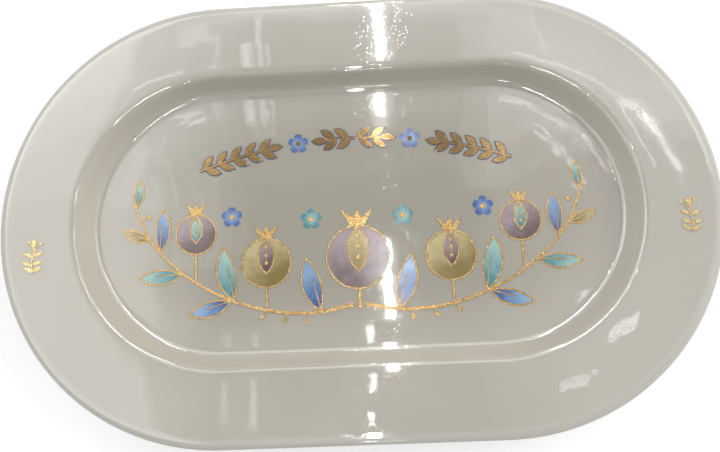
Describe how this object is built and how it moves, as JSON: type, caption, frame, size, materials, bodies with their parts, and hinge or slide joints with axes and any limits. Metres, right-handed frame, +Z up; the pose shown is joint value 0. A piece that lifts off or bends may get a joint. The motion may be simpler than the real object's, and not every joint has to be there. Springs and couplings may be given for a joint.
{
  "type": "challah tray",
  "caption": "Oval porcelain bread tray with a wide sloping rim, a flat well on a foot ring, and fired-on gold and enamel ornament.",
  "frame": {"origin": "on the table, under the middle of the tray", "axes": "+X along the tray's length, +Y across it towards the arch of sprays, +Z up"},
  "size_m": [0.4, 0.25, 0.0231],
  "materials": {
    "porcelain": "smooth warm pale grey-white glaze, high gloss",
    "gold": "fired-on bright gold with a fine grain",
    "deep_blue_enamel": "glossy blue enamel, shaded paler towards one end",
    "turquoise_enamel": "glossy turquoise enamel, shaded paler towards one end",
    "mauve_enamel": "glossy brown-mauve enamel, shaded paler towards one side",
    "ochre_enamel": "glossy olive-gold enamel, shaded paler towards one side",
    "night_blue_enamel": "thin dark blue edging under the gold sprays"
  },
  "bodies": {
    "root": {"tray_body": "porcelain", "middle_fruit_gold": "gold", "middle_fruit_skin": "mauve_enamel", "middle_fruit_flesh": "ochre_enamel", "near_fruit_left_skin": "ochre_enamel", "near_fruit_left_flesh": "mauve_enamel", "far_fruit_left_skin": "mauve_enamel", "far_fruit_left_flesh": "turquoise_enamel", "bough_gold_left": "gold", "leaf_1_left": "deep_blue_enamel", "leaf_2_left": "turquoise_enamel", "leaf_3_left": "deep_blue_enamel", "leaf_4_left": "turquoise_enamel", "leaf_5_left": "deep_blue_enamel", "leaf_6_left": "ochre_enamel", "leaf_7_left": "turquoise_enamel", "near_fruit_right_skin": "ochre_enamel", "near_fruit_right_flesh": "mauve_enamel", "far_fruit_right_skin": "mauve_enamel", "far_fruit_right_flesh": "turquoise_enamel", "bough_gold_right": "gold", "leaf_1_right": "deep_blue_enamel", "leaf_2_right": "turquoise_enamel", "leaf_3_right": "deep_blue_enamel", "leaf_4_right": "turquoise_enamel", "leaf_5_right": "deep_blue_enamel", "leaf_6_right": "ochre_enamel", "leaf_7_right": "turquoise_enamel", "arch_spray_left_edging": "night_blue_enamel", "arch_spray_left_gold": "gold", "arch_spray_middle_edging": "night_blue_enamel", "arch_spray_middle_gold": "gold", "arch_spray_right_edging": "night_blue_enamel", "arch_spray_right_gold": "gold", "arch_blossom_left_petals": "deep_blue_enamel", "arch_blossom_left_eye": "gold", "arch_blossom_right_petals": "deep_blue_enamel", "arch_blossom_right_eye": "gold", "inner_blossom_left_petals": "turquoise_enamel", "inner_blossom_left_eye": "gold", "inner_blossom_right_petals": "turquoise_enamel", "inner_blossom_right_eye": "gold", "outer_blossom_left_petals": "deep_blue_enamel", "outer_blossom_left_eye": "gold", "outer_blossom_right_petals": "deep_blue_enamel", "outer_blossom_right_eye": "gold", "rim_sprig_left": "gold", "rim_sprig_right": "gold"}
  },
  "joints": []
}
